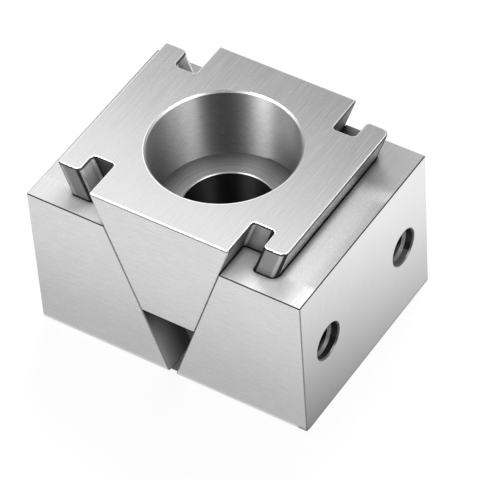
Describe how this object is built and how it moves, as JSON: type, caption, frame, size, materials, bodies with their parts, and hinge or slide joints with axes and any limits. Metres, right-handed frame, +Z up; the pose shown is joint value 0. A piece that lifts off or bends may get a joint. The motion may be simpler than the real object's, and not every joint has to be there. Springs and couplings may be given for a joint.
{
  "type": "side clamp",
  "caption": "Low double-wedge side clamp: a screw draws the counterbored centre wedge down on T-rails and pushes both ground steel jaws apart.",
  "frame": {"origin": "on the clamping screw's axis, in the plane that both jaws stand on, with the clamp closed", "axes": "+X along the jaws' travel, towards the right jaw; +Y from front to back; +Z up along the screw, towards its head"},
  "size_m": [0.032, 0.024, 0.022],
  "materials": {
    "wedge_steel": "fine ground, lines front to back on top",
    "jaw_steel": "fine ground, bare steel"
  },
  "bodies": {
    "left_jaw": {"left_jaw": "jaw_steel"},
    "wedge": {"centre_wedge": "wedge_steel"},
    "right_jaw": {"right_jaw": "jaw_steel"}
  },
  "joints": [
    {"name": "wedge_slide", "type": "slide", "parent": "left_jaw", "child": "wedge", "axis": [0.3338, 0, -0.9426], "range_m": [0, 0.00424]},
    {"name": "right_jaw_slide", "type": "slide", "parent": "wedge", "child": "right_jaw", "axis": [0.3338, 0, 0.9426], "range_m": [0, 0.00424]}
  ],
  "couplings": [
    {"joint": "right_jaw_slide", "follows": "wedge_slide", "ratio": 1}
  ]
}
